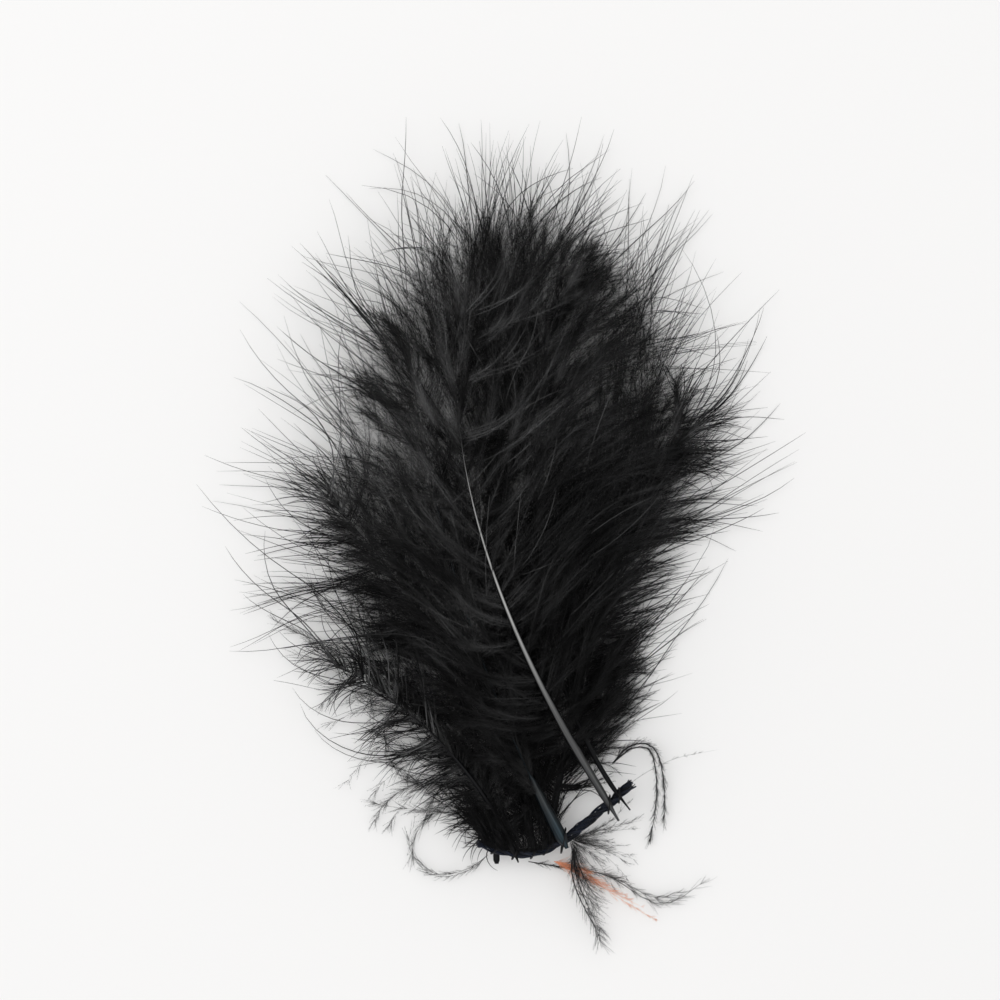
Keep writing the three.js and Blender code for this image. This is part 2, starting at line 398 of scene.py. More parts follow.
def down_material(name, dark, light, tip, specular, painted_shade_middle=None):
    """Down dyed through, with barbs that differ in tone, paler, thinner ends, and painted shade round a
    given middle.
    """
    material, tree, shader = new_material(name, 0.6, specular)
    places = piece_map(tree)
    # each barb's place between the dark and the light tone: its own tone, and for the black down also
    # painted light on the tops of the tufts and painted shade in the gaps between them
    barbs = noise(tree, mapped(tree, places, (2.5, 45, 1)))
    body = colours(tree, barbs, [(0.42, dark), (0.64, light)])
    # painted shade round the given middle, when there is one
    if painted_shade_middle:
        body = painted_shade_and_patches(tree, dark, body, painted_shade_middle)
    ends = colours(tree, parted(tree, places)["X"], [(0.45, BLACK), (1.0, WHITE)])
    tree.links.new(blended(tree, ends, body, plain(tree, tip)), shader.inputs["Base Color"])
    return material


def streaked_material(name, roughness, specular, stretch, stops):
    """A finish with fine streaks along the piece."""
    material, tree, shader = new_material(name, roughness, specular)
    streaks = noise(tree, mapped(tree, piece_map(tree), stretch))
    tree.links.new(colours(tree, streaks, stops), shader.inputs["Base Color"])
    return material


def quill_material(name, roughness, specular, butt, shaft, change):
    """A quill's streaky horn: its butt's two tones turn into the shaft's two tones along its length
    by these shares of change, with a painted highlight along its top and painted shade on its flanks."""
    material, tree, shader = new_material(name, roughness, specular)
    places = piece_map(tree)
    streaks = noise(tree, mapped(tree, places, (3, 14, 1)))
    low = colours(tree, streaks, [(0.35, butt[0]), (0.65, butt[1])])
    high = colours(tree, streaks, [(0.35, shaft[0]), (0.65, shaft[1])])
    axes = parted(tree, places)
    turned = colours(tree, axes["X"], [(place, grey(share)) for place, share in change])
    blend = blended(tree, turned, low, high)
    # painted light: the top shows the tones as a painted highlight, and the flanks take the butt's darkest
    # tone as painted shade
    painted_top_light = colours(tree, axes["Y"], [(0.1, BLACK), (0.2, WHITE), (0.27, WHITE), (0.37, BLACK)])
    tree.links.new(blended(tree, painted_top_light, plain(tree, butt[0]), blend), shader.inputs["Base Color"])
    return material


# painted light and shade: the black down's barbs run from near black to a light grey, partly their own tone
# and partly painted light on the tops of the tufts and painted shade in the gaps; its pile also has painted
# shade round (14, -24)
black_down = down_material(
    "black_down", dark=(0.0015, 0.0015, 0.0017), light=(0.18, 0.18, 0.182),
    tip=(0.014, 0.014, 0.0145), specular=0.12, painted_shade_middle=(14, -24),
)
# painted shade: a darker copy of the black down, for the down by the cord
painted_shade_down = down_material(
    "painted_shade_down", dark=(0.0012, 0.0012, 0.0015), light=(0.02, 0.02, 0.021),
    tip=(0.01, 0.01, 0.0105), specular=0.12,
)
grey_down = down_material(
    "grey_down", dark=(0.008, 0.008, 0.009), light=(0.03, 0.03, 0.031),
    tip=(0.035, 0.035, 0.034), specular=0.2,
)
salmon_down = down_material(
    "salmon_down", dark=(0.72, 0.27, 0.14), light=(0.93, 0.46, 0.28),
    tip=(0.95, 0.5, 0.3), specular=0.3,
)
# painted highlight: the pale shaft tones and the bright band along the middle of the quill's length stand
# in for the lamp's highlight
painted_highlight_quill = quill_material(
    "painted_highlight_quill", 0.28, 0.3,
    butt=((0.004, 0.004, 0.0045), (0.06, 0.062, 0.065)),
    shaft=(grey(0.14), (0.42, 0.42, 0.41)),
    change=[(0.06, 0), (0.2, 0.22), (0.32, 0.4), (0.48, 1), (0.69, 1), (0.76, 0)],
)
black_quill = quill_material(
    "black_quill", 0.4, 0.12,
    butt=((0.001, 0.001, 0.0015), (0.004, 0.004, 0.005)),
    shaft=((0.002, 0.002, 0.0025), (0.006, 0.006, 0.007)),
    change=[(0.2, 0), (0.5, 1)],
)
teal_quill = quill_material(
    "teal_quill", 0.3, 0.15,
    butt=((0.001, 0.003, 0.0045), (0.035, 0.055, 0.068)),
    shaft=((0.004, 0.006, 0.007), (0.075, 0.08, 0.083)),
    change=[(0.1, 0), (0.16, 1), (0.19, 1), (0.21, 0)],
)
# painted glints: the pale streaks of the loose bare hairs stand in for light catching them
painted_glint_hair = streaked_material(
    "painted_glint_hair", 0.4, 0.3, (6, 20, 1), [(0.3, (0.015, 0.015, 0.016)), (0.7, grey(0.1))],
)
navy_cord = streaked_material(
    "navy_cord", 0.38, 0.22, (6, 60, 1), [(0.4, (0.0008, 0.0012, 0.003)), (0.62, (0.007, 0.012, 0.028))],
)
black_thread = streaked_material(
    "black_thread", 0.5, 0.2, (30, 8, 1), [(0.3, (0.002, 0.002, 0.0025)), (0.7, (0.007, 0.007, 0.008))],
)


# ---------------------------------------------------------------- studio

def studio():
    """A camera straight above the tuft, an even white sky, one large soft lamp and a pale floor."""
    view_centre = np.array([1.24, 7.6]) * MM
    view_width, view_level = 180 * MM, 7 * MM
    lens, sensor = 85, 36
    height = view_level + view_width * lens / sensor
    bpy.ops.object.camera_add(location=(*view_centre, height), rotation=(0, 0, 0))
    camera = bpy.context.object
    camera.data.lens = lens
    camera.data.sensor_width = sensor
    camera.data.clip_start = 0.01
    bpy.context.scene.camera = camera
    bpy.context.scene.view_settings.view_transform = "Standard"
    world = bpy.data.worlds.new("studio")
    world.use_nodes = True
    world.node_tree.nodes["Background"].inputs["Color"].default_value = (1, 1, 1, 1)
    world.node_tree.nodes["Background"].inputs["Strength"].default_value = 0.825
    bpy.context.scene.world = world
    lamp_place = Vector((-0.2, 0.17, 0.95))
    bpy.ops.object.light_add(type="AREA", location=lamp_place)
    lamp = bpy.context.object
    lamp.data.size = 0.8
    lamp.data.energy = 3.1
    lamp.rotation_euler = (-lamp_place).to_track_quat("-Z", "Y").to_euler()
    bpy.ops.mesh.primitive_plane_add(size=4, location=(0, 0, -0.0002))
    floor = bpy.context.object
    floor.name = "floor"
    material, _, shader = new_material("floor", 0.9, 0.1)
    shader.inputs["Base Color"].default_value = (0.875, 0.870, 0.865, 1)
    floor.data.materials.append(material)


studio()


# ---------------------------------------------------------------- quills

QUILL_SIDES = 18
QUILL_RINGS = 90
QUILL_WALL = 0.3  # the wall of the hollow butt, as a share of its radius
QUILL_DEPTH = 0.02  # how deep the butt is open, as a share of the quill's length

# Shares of a quill's length, and of its full radius there. The short profile is for a quill whose
# shaft soon goes under the down.
QUILL_PROFILE = (
    [0, 0.18, 0.33, 0.45, 0.57, 0.63, 0.7, 1],
    [1, 1.02, 0.8, 0.52, 0.35, 0.26, 0.14, 0.05],
)
SHORT_PROFILE = ([0, 0.05, 0.1, 0.145, 0.16, 1], [1, 1, 0.75, 0.5, 0.12, 0.05])
QUILL_FINISH = {1: painted_highlight_quill, 3: teal_quill}


def quill_radius(feather, share):
    """Thick at the stitch, a cut that narrows to the butt, and thin for most of its length."""
    profile = SHORT_PROFILE if feather["radius"] > 1 else QUILL_PROFILE
    radius = feather["radius"] * np.interp(share, *profile)
    from_butt = share * (feather["length"] + feather["butt"])
    if feather["over"]:
        return radius * (0.3 + 0.7 * smoothstep(from_butt, 0, 1.8 * feather["butt"]))
    return radius * (0.6 + 0.4 * smoothstep(from_butt, 0, 0.7))


def hollow_rod():
    """A round rod of unit size, standing on its open butt, with rings along its length."""
    deselect()
    bpy.ops.mesh.primitive_cylinder_add(vertices=QUILL_SIDES, radius=1, depth=1, location=(0, 0, 0.5))
    rod = bpy.context.object
    bpy.ops.object.transform_apply(location=True, rotation=True, scale=True)
    bpy.ops.object.mode_set(mode="EDIT")
    bpy.ops.mesh.select_mode(type="FACE")
    bpy.ops.mesh.select_all(action="DESELECT")
    mesh = bmesh.from_edit_mesh(rod.data)
    for face in mesh.faces:
        face.select_set(face.normal.z < -0.9)
    bmesh.update_edit_mesh(rod.data)
    bpy.ops.mesh.inset(thickness=QUILL_WALL)
    bpy.ops.mesh.extrude_region_move(TRANSFORM_OT_translate={"value": (0, 0, QUILL_DEPTH)})
    bpy.ops.mesh.select_all(action="DESELECT")
    bpy.ops.mesh.select_mode(type="EDGE")
    mesh = bmesh.from_edit_mesh(rod.data)
    for edge in mesh.edges:
        edge.select_set(abs(edge.verts[0].co.z - edge.verts[1].co.z) > 0.9)
    bmesh.update_edit_mesh(rod.data)
    bpy.ops.mesh.subdivide(number_cuts=QUILL_RINGS)
    bpy.ops.object.mode_set(mode="OBJECT")
    return rod


def map_quill(rod, points, share):
    """Lays the quill's map: its length runs across, and the way round it runs up."""
    layer = rod.data.uv_layers[0]
    layer.name = BAKE_MAP
    turn = np.arctan2(points[:, 1], points[:, 0]) / (2 * np.pi) % 1
    for face in rod.data.polygons:
        around = np.array([turn[i] for i in face.vertices])
        if around.max() - around.min() > 0.5:
            around[around < 0.5] += 1
        inner = len(face.vertices) > 4 or np.hypot(*points[list(face.vertices), :2].T).min() < 0.98
        for corner, spot, index in zip(face.loop_indices, around, face.vertices):
            reach = np.hypot(*points[index, :2])
            along = 0.04 * reach if inner else 0.06 + 0.94 * share[index]
            layer.uv[corner].vector = (along, spot * QUILL_SIDES / (QUILL_SIDES + 1))


def quill(number, feather):
    """A hollow rod, cut open at the butt and thinning towards the feather's tip."""
    rod = hollow_rod()
    line = shafts[number]
    points = vertex_points(rod)
    share = points[:, 2].clip(0, 1) ** 1.3
    centre = resample(line, share)
    ahead, behind = (share + 0.01).clip(0, 1), (share - 0.01).clip(0, 1)
    course = unit(resample(line, ahead) - resample(line, behind))
    side = unit(np.cross(course, UP))
    top = np.cross(side, course)
    radius = quill_radius(feather, share)[:, None]
    # a shaft is a little wider than it is deep, with a shallow groove underneath
    flat = 0.85 - 0.25 * (points[:, 1:2] < -0.5)
    move_vertices(rod, centre + radius * (points[:, :1] * side + flat * points[:, 1:2] * top))
    map_quill(rod, points, share)
    rod.data.update()
    make_active(rod)
    bpy.ops.object.shade_smooth_by_angle(angle=math.radians(50))
    finish = QUILL_FINISH.get(number, black_quill)
    finish_piece(rod, f"quill_{number}", finish, f"feather_{number}", [f"shaft_{number}"])


# ---------------------------------------------------------------- cord and stitches

def cord():
    """Three strands laid round one another, each a bundle of fine shiny fibres."""
    random = np.random.default_rng(3)
    steps, fibres, own_twists, fibre_radius = 110, 15, 3.5, 0.1
    along = np.linspace(0, 1, steps)
    centre = resample(cord_line, along)
    course = unit(np.gradient(centre, axis=0))
    left = unit(np.cross(UP, course))
    for strand in range(STRANDS):
        turn = strand / STRANDS * 2 * np.pi + along * CORD_TWISTS * 2 * np.pi
        middle = centre + STRAND_OFFSET * (np.cos(turn)[:, None] * left + np.sin(turn)[:, None] * UP)
        around = random.uniform(0, 2 * np.pi, (fibres, 1)) + along * own_twists * 2 * np.pi
        around = around + random.normal(0, 0.5, (fibres, 1)) * np.sin(along * 9)[None]
        apart = (STRAND_RADIUS + 0.06) * np.sqrt(random.uniform(0.15, 1, (fibres, 1)))
        # the cut ends fray a little, and their fibres end unevenly
        from_middle = np.abs(along - 0.5)
        apart = apart * (1 + 0.9 * smoothstep(from_middle, 0.47, 0.5) * random.uniform(0, 1, (fibres, 1)))
        aside, above = apart * np.cos(around), apart * np.sin(around)
        lines = middle[None] + aside[..., None] * left + above[..., None] * UP
        uneven = random.uniform(-0.5, 0.5, (fibres, 1)) * smoothstep(from_middle, 0.48, 0.5)
        lines += uneven[..., None] * course
        radii = np.full((fibres, steps), fibre_radius) * random.uniform(0.8, 1.2, (fibres, 1))
        piece = mesh_piece(*tubes(lines, radii, 6))
        name, solid = f"cord_fibres_{strand + 1}", f"cord_strand_{strand + 1}"
        finish_piece(piece, name, navy_cord, "root", [solid])


def stitch(number, feather):
    """A loop of two-ply thread round the quill and the cord."""
    deselect()
    bpy.ops.mesh.primitive_torus_add(
        major_radius=1, minor_radius=THREAD_RADIUS, major_segments=80, minor_segments=10,
    )
    loop = bpy.context.object
    seat = feather["seat"]
    quill_course = direction(feather["heading"])
    nearest = np.hypot(*(cord_line - seat)[:, :2].T).argmin()
    cord_course = unit(cord_line[min(nearest + 1, CORD_STEPS)] - cord_line[max(nearest - 1, 0)])
    angle = math.radians(STITCH_ANGLE)
    wide = unit(math.cos(angle) * quill_course - math.sin(angle) * cord_course)
    axial = np.cross(wide, UP)
    far = CORD_RADIUS + 2 * feather["radius"] + 2 * CLEARANCE + THREAD_RADIUS
    near = CORD_RADIUS + CLEARANCE + THREAD_RADIUS
    tall = (far + near) / 2
    middle = (far - near) / 2 * (1 if feather["over"] else -1)
    rise = (CORD_RADIUS + CLEARANCE + feather["radius"]) * (1 if feather["over"] else -1)

    def passing(radius, course, play, height):
        """The half width that lets a round thing of this radius and course pass at this height."""
        across = abs(axial @ course)
        return (radius / across + play + THREAD_RADIUS) / math.sqrt(1 - ((height - middle) / tall) ** 2)

    play = CLEARANCE + SWIVEL_PLAY * feather["radius"]
    half_width = max(passing(feather["radius"], quill_course, play, rise),
                     passing(CORD_RADIUS, cord_course, CLEARANCE, 0))
    half_width *= PULLED
    centre = np.array([seat[0], seat[1], CORD_HEIGHT + middle])
    points = vertex_points(loop)
    turn = np.arctan2(points[:, 1], points[:, 0])
    outward = np.hypot(points[:, 0], points[:, 1]) - 1
    section = np.arctan2(points[:, 2], outward)
    plies, twists = 2, 9
    ply = 0.72 + 0.28 * np.abs(np.cos((plies * section + twists * turn) / 2))
    outward, height = outward * ply, points[:, 2] * ply
    slope = unit(np.stack([np.cos(turn) / half_width, np.sin(turn) / tall], -1))
    placed = (centre + (np.cos(turn) * half_width + slope[:, 0] * outward)[:, None] * wide
              + (np.sin(turn) * tall + slope[:, 1] * outward)[:, None] * UP + height[:, None] * axial)
    move_vertices(loop, placed)
    loop.data.uv_layers[0].name = BAKE_MAP
    loop.data.update()
    make_active(loop)
    bpy.ops.object.mode_set(mode="EDIT")
    bpy.ops.mesh.select_all(action="SELECT")
    bpy.ops.mesh.normals_make_consistent(inside=False)
    bpy.ops.object.mode_set(mode="OBJECT")
    bpy.ops.object.shade_smooth()
    body = "stitch_1" if number == 1 else "root"
    name = f"thread_loop_{number}"
    finish_piece(loop, name, black_thread, body, [f"stitch_{number}"])


# ---------------------------------------------------------------- vanes

# The outline of the fluffy mass, and how far bare hairs stand out of it, as distances from its
# middle by course in degrees.
MASS_MIDDLE = (1.2, 4.0)
MASS_REACH = (
    [-180, -150, -130, -110, -95, -82, -75, -66, -55, -40, -20, 0, 20, 45, 62, 82, 105, 120, 140, 160, 180],
    [31, 30, 30, 36, 53, 55, 49, 49, 41, 28, 28, 34, 38, 45, 52, 59, 53, 44, 37, 32, 31],
)
HAIR_REACH = ([-180, -150, -120, -60, -30, 0, 45, 90, 135, 180], [26, 22, 12, 5, 12, 18, 19, 19, 24, 26])
# The share of barbs that end inside the mass, by the same courses.
SHORT_SHARE = ([-180, -30, 0, 60, 90, 120, 180], [0.45, 0.35, 0.4, 0.2, 0, 0.1, 0.45])

# How the settled down lies: straight up along the spine, turning outwards to these angles off
# straight up at the left and right rims, by height.
SPINE = ([-50, -20, 20, 60], [10, 0, -3, 0])
LEFT_TURN = ([-45, -20, 0, 20, 40, 60], [112, 100, 90, 68, 48, 36])
RIGHT_TURN = ([-45, -20, 0, 20, 45, 60], [40, 58, 84, 68, 48, 38])
TURN_WIDTH = ([-40, 0, 60], [12, 30, 22])

BARBS = 270  # on each side of a feather with a full length of vane
FULL_VANE = 84
BARB_STEPS = 13
SHARPEST_TURN = 60
SPACING = 0.5

# Each tuft of barbs is tried a few ways, and lies where the mass is barest so far.
TRIES = 6
CELL = 2.5
CELLS = 80
cover = np.zeros((CELLS, CELLS))


def polar(x, y):
    x, y = x - MASS_MIDDLE[0], y - MASS_MIDDLE[1]
    return np.hypot(x, y), np.degrees(np.arctan2(y, x))


def beyond(x, y):
    """How far outside the fluffy mass this place is, in millimetres; less than zero inside it."""
    distance, course = polar(x, y)
    return distance - np.interp(course, *MASS_REACH)


def settle(height, x, y):
    """The pile thins towards its rim, where the barbs sink to the table."""
    low = 0.25
    return low + (height - low) * (1 - 0.75 * smoothstep(beyond(x, y), -24, 10))


def flow(x, y):
    """The course of the settled down at this place, in degrees."""
    off = x - np.interp(y, *SPINE)
    share = smoothstep(np.abs(off), 0, np.interp(y, *TURN_WIDTH))
    return 90 + np.where(off < 0, np.interp(y, *LEFT_TURN), -np.interp(y, *RIGHT_TURN)) * share


def sway(x, y, phase):
    """A slow waviness that neighbouring barbs share, in degrees."""
    return (7 * np.sin(x / 7.3 + phase) + 6 * np.sin(y / 9.1 - x / 15 + 2 * phase)
            + 4 * np.sin((x + y) / 4.1 + 3 * phase))


def gather(lines, tuft, hold):
    """Draws the barbs of each tuft together."""
    middle = np.zeros((tuft.max() + 1, *lines.shape[1:]))
    np.add.at(middle, tuft, lines)
    middle /= np.bincount(tuft)[:, None, None]
    return lines + (middle[tuft] - lines) * hold[None, :, None]


def march(root, leave, size, wander, curl, phase, steps, most=SHARPEST_TURN):
    """Barbs that leave at their own angle and are soon turned by the flow of the settled down."""
    s = np.linspace(0, 1, steps)
    line = np.empty((len(root), steps, 2))
    line[:, 0] = place = root
    for k in range(1, steps):
        middle = (s[k] + s[k - 1]) / 2
        settled = flow(place[:, 0], place[:, 1]) + sway(place[:, 0], place[:, 1], phase)
        turn = ((settled - leave + 180) % 360 - 180).clip(-most, most)
        angle = leave + turn * 0.85 * smoothstep(middle, 0.0, 0.65) + wander * middle + curl * middle**1.5
        place = place + (size / (steps - 1))[:, None] * direction(angle)[:, :2]
        line[:, k] = place
    return line


def barest(lines, weight, random):
    """Chooses one of the lines [tuft, try, step, xy] for each tuft, and notes what it covers."""
    column, row = ((lines / CELL + CELLS / 2).astype(int).clip(0, CELLS - 1)[..., i] for i in (0, 1))
    inside = beyond(lines[..., 0], lines[..., 1]) < -2
    chosen = np.zeros(len(lines), int)
    for tuft in random.permutation(len(lines)):
        load = (cover[column[tuft], row[tuft]] * inside[tuft]).sum(-1) / np.maximum(inside[tuft].sum(-1), 1)
        chosen[tuft] = best = load.argmin()
        np.add.at(cover, (column[tuft, best], row[tuft, best]), weight[tuft])
    return chosen


def barb_roots(feather, shaft, side, count, random):
    """Where the barbs of one side leave the shaft: shares of the vane, points and headings."""
    total = feather["length"] + feather["butt"]
    start = (feather["bare"] + (side < 0) * feather.get("clear", 0) + feather["butt"]) / total
    share = np.sort(np.linspace(0, 1, count) + random.normal(0, 0.004, count)).clip(0, 1)
    at = start + (0.96 - start) * share**1.1
    step = resample(shaft, at + 0.004) - resample(shaft, at - 0.004)
    return share, resample(shaft, at), heading_of(step)


def hiding_share(feather, share):
    """The share of tufts that lie across the shaft and hide it, by their place along it."""
    if "hiding" in feather:
        return feather["hiding"]
    if feather["level"] == TOP_LEVEL:
        return 0.9 * smoothstep(share, 0.7, 0.78)
    if feather["level"] == TOP_LEVEL - 1:
        return 0.9 - 0.45 * smoothstep(share, 0.1, 0.2)
    return 0.45


def lay_tufts(root, course, side, share, size, across, barbs, phase, most, random):
    """Each tuft's angle off the shaft, wander and growth, chosen so that the tufts cover the mass
    evenly. barbs is how many each holds."""
    ways = (len(root), TRIES)
    spreads = 70 - 14 * share[:, None] + random.uniform(-34, 24, ways)
    spreads = np.where(across[:, None], random.uniform(-35, 25, ways), spreads)
    spreads = np.where(share[:, None] > 0.85, random.uniform(-25, 80, ways), spreads)
    wanders = random.normal(0, 10, ways)
    growths = random.uniform(0.85, 1.3, ways)
    leave = (course[:, None] + side * spreads).ravel()
    sizes = (size[:, None] * growths).ravel()
    tried = march(np.repeat(root, TRIES, 0), leave, sizes, wanders.ravel(), 0, phase, BARB_STEPS, most)
    chosen = np.arange(len(root)), barest(tried.reshape(*ways, BARB_STEPS, 2), barbs, random)
    return spreads[chosen], wanders[chosen], growths[chosen]


def fitted(size, root, tips, tuft, random):
    """The barbs' sizes, drawn in or out to end at the rim of the mass or stand out of it as hairs."""
    count, tufts = len(size), tuft.max() + 1
    begin, end = beyond(*root.T), beyond(*tips.T)
    towards = polar(*tips.T)[1]
    hair = np.interp(towards, *HAIR_REACH)
    stand_out = 1.5 * random.uniform(0, 1, tufts)[tuft] ** 1.5 * random.uniform(0.55, 1.1, count)
    limit = hair * (-0.3 + stand_out)
    short = random.uniform(0, 1, count) < np.interp(towards, *SHORT_SHARE)
    limit = np.where(short, random.uniform(-9, 0, count), limit)
    fit = (limit - begin) / np.maximum(end - begin, 1)
    return size * np.where(end > limit, fit.clip(0.35, 1), np.where(end > -10, fit.clip(1, 1.45), 1))


def barb_height(feather, root, flat, tuft, across, random):
    """The barbs leave the shaft at its own height, sink to the settled pile, and arch a little."""
    count, tufts = len(root), tuft.max() + 1
    s = np.linspace(0, 1, BARB_STEPS)
    arch = random.normal(0.4, 1.2, tufts)[tuft] + random.normal(0, 0.3, count)
    rise = arch[:, None] * np.sin(np.pi * s)[None] ** 0.8
    rise = rise + random.normal(0, 0.8, count)[:, None] * s[None] ** 2
    rise = rise + across[:, None] * 1.2 * smoothstep(s, 0, 0.1)
    level = settle(level_height(feather, flat[..., 0], flat[..., 1]), flat[..., 0], flat[..., 1])
    sunk = smoothstep(s, 0, 0.5)
    height = root[:, 2:] * (1 - sunk) + level * sunk + rise
    height[:, 0] = root[:, 2] - 0.3 * feather["radius"]
    return np.maximum(height, 0.12)


def vane_lines(feather, shaft, side, count, random):
    """The barbs of one side of a feather: their lines, and which of them are stray."""
    share, root, course = barb_roots(feather, shaft, side, count, random)
    # barbs cling together in small tufts that share a direction and a length
    tuft = np.cumsum(random.uniform(0, 1, count) < 0.25)
    tuft -= tuft[0]
    tufts = tuft.max() + 1
    first = np.searchsorted(tuft, np.arange(tufts))
    size = feather["barb"] * (0.6 + 0.4 * np.sin(np.pi * (0.1 + 0.7 * share)))
    size *= random.uniform(0.82, 1.08, count)
    stray = random.uniform(0, 1, count) < 0.06
    across = random.uniform(0, 1, tufts)[tuft] < hiding_share(feather, share)
    phase = random.uniform(0, 6)
    most = feather.get("most", SHARPEST_TURN)
    spread, wander, growth = lay_tufts(
        root[first, :2], course[first], side, share[first], size[first], across[first],
        np.bincount(tuft), phase, most, random,
    )
    size *= growth[tuft]
    leave = course + side * (spread[tuft] + random.normal(0, 5, count))
    wander = wander[tuft] + random.normal(0, 13, count) + stray * random.normal(0, 18, count)
    wander = wander + random.normal(0, 22, count) * (share > 0.82)
    curl = random.normal(0, 38, count) * (1 - smoothstep(share, 0.05, 0.35))
    if "tangled" in feather:
        wander = wander + random.normal(0, 20, count)
        curl = curl + random.normal(0, 45, count)
    # a first run shows how far each barb would reach, and sets its size
    tips = march(root[:, :2], leave, size, wander, curl, phase, BARB_STEPS, most)[:, -1]
    size = fitted(size, root[:, :2], tips, tuft, random)
    flat = march(root[:, :2], leave, size, wander, curl, phase, BARB_STEPS, most)
    # the upper feathers' tufts hold together, and the lower ones' barbs spread evenly beneath them
    hold = 0.68 if feather["level"] > MIDDLE_LEVEL else 0.3
    s = np.linspace(0, 1, BARB_STEPS)
    flat = gather(flat, tuft, hold * (smoothstep(s, 0, 0.35) - 0.6 * smoothstep(s, 0.55, 1)))
    return np.dstack([flat, barb_height(feather, root, flat, tuft, across, random)]), stray


def vane(number, feather, side):
    """One side of a feather, as one piece of downy barbs."""
    random = np.random.default_rng(10 * number + (side > 0))
    count = int(BARBS * feather["close"] * (feather["length"] - feather["bare"]) / FULL_VANE)
    lines, stray = vane_lines(feather, shafts[number], side, count, random)
    # the mass is downy all through, and only the lower barbs stay downy outside it
    outside = beyond(lines[..., 0], lines[..., 1])
    tip_y = lines[:, -1, 1]
    low_down = 7 * (1 - smoothstep(tip_y, -25, 8)) * (0.2 + 0.8 * smoothstep(tip_y, -46, -28))
    edge = random.normal(-1.5, 2.5, count) + low_down - 40 * stray

    def reach(barb, place):
        spot = place * (outside.shape[1] - 1)
        low = np.minimum(spot.astype(int), outside.shape[1] - 2)
        part = spot - low
        out = outside[barb, low] * (1 - part) + outside[barb, low + 1] * part - edge[barb]
        full = 2.2 - 0.4 * smoothstep(out + edge[barb], -2, 5)
        ends = smoothstep(place, 0, 0.04) * (1 - 0.6 * smoothstep(place, 0.8, 1))
        return full * ends * (1 - smoothstep(out, -4, 2))

    core = 0.05 + 0.085 * smoothstep(outside, -8, 2)
    piece = down(lines, core, SPACING, reach, (14, 42), random.integers(1000), 0.045)
    word = "left" if side > 0 else "right"
    name, solid = f"{word}_down_{number}", f"{word}_vane_{number}"
    finish_piece(piece, name, black_down, f"feather_{number}", [solid])


# ---------------------------------------------------------------- plumes

# spread is how far the stems part, shortest the shortest stem's share of the route, and thick a
# stem's radius; twigs are a stem's side barbs, twig their length, lean the range of their angle off
# the stem in degrees, and swell how much longer they are at its end.
PLUMES = {
    "afterfeather_1": dict(
        body="feather_2", slot="grey_down", stems=2, spread=2.4, shortest=0.88, thick=0.15,
        twigs=200, twig=2.2, lean=(8, 28), swell=-0.2,
        route=[(20.2, -47.4, 7.4), (23.6, -44.3, 6), (27.8, -44.9, 4.4), (29.2, -52, 2.6), (28.3, -63, 1)],
    ),
    "afterfeather_2": dict(
        body="feather_3", slot="grey_down", stems=4, spread=3.6, shortest=0.55, thick=0.14,
        twigs=70, twig=2.6, lean=(12, 40), swell=0.5,
        route=[(13.4, -63, 5.2), (13.7, -67, 5), (15.6, -72, 4.4), (20.2, -80.6, 2.4)],
    ),
    "afterfeather_3": dict(
        body="feather_5", slot="grey_down", stems=2, spread=0.8, shortest=0.85, thick=0.09,
        twigs=90, twig=1.8, lean=(10, 30), swell=1.0,
        route=[(5.2, -65.8, 2.2), (9.6, -66.6, 1.6), (19.6, -68.4, 1.2), (29.4, -73.4, 1),
               (38, -68.6, 0.9)],
    ),
    "afterfeather_4": dict(
        body="feather_4", slot="grey_down", stems=2, spread=1.0, shortest=0.9, thick=0.05,
        twigs=40, twig=2.4, lean=(8, 30), swell=0.2,
        route=[(-2.2, -64.6, 2.2), (-6, -67.4, 1.7), (-12.4, -68.2, 1.3), (-16.6, -62.6, 1),
               (-13.4, -56.8, 0.9)],
    ),
    "dyed_plume": dict(
        body="root", slot="salmon_down", stems=5, spread=2.6, shortest=0.35, thick=0.07,
        twigs=44, twig=4.4, lean=(5, 36), swell=-0.8,
        route=[(9.8, -65.6, 3.4), (15, -68.2, 3), (21, -71, 2.8), (29.8, -75.2, 2.6)],
    ),
}


def stem_lines(middle, stems, spread, shortest, random):
    """Stems that start together along this line and part a little, of different lengths."""
    steps = len(middle)
    s = np.linspace(0, 1, steps)
    aside = unit(np.cross(UP, unit(np.gradient(middle, axis=0))))
    part = np.linspace(-0.5, 0.5, stems)[:, None] * spread * s[None] ** 0.9
    part = part + random.normal(0, 0.25, (stems, 1)) * np.sin(random.uniform(3, 6, (stems, 1)) * s[None])
    lines = np.stack([resample(middle, s * length) for length in np.linspace(1, shortest, stems)])
    return lines + part[..., None] * aside


def twig_lines(stem, twigs, length, random, lean=(10, 32), swell=-0.45):
    """Side barbs along a stem, leaning forward and sinking a little towards their tips."""
    steps = len(stem)
    s = np.linspace(0, 1, steps)
    at = np.sort(random.uniform(0.02, 0.97, twigs))
    root = resample(stem, at)
    course = resample(stem, (at + 0.03).clip(0, 1)) - resample(stem, (at - 0.03).clip(0, 1))
    side = random.choice([-1, 1], twigs)
    leave = heading_of(course) + side * random.uniform(*lean, twigs)
    bend = -side * random.uniform(-12, 30, twigs)
    size = length * random.uniform(0.45, 1.15, twigs) * (1 + swell * at)
    flat = walk(size, leave[:, None] + bend[:, None] * s[None])
    flat = flat - flat[:, :1] + root[:, None, :2]
    sink = random.uniform(-0.5, 0.8, twigs)[:, None] - 0.4 * root[:, None, 2]
    height = root[:, None, 2] + sink * s[None] ** 1.5
    return np.dstack([flat, np.maximum(height, 0.1)])


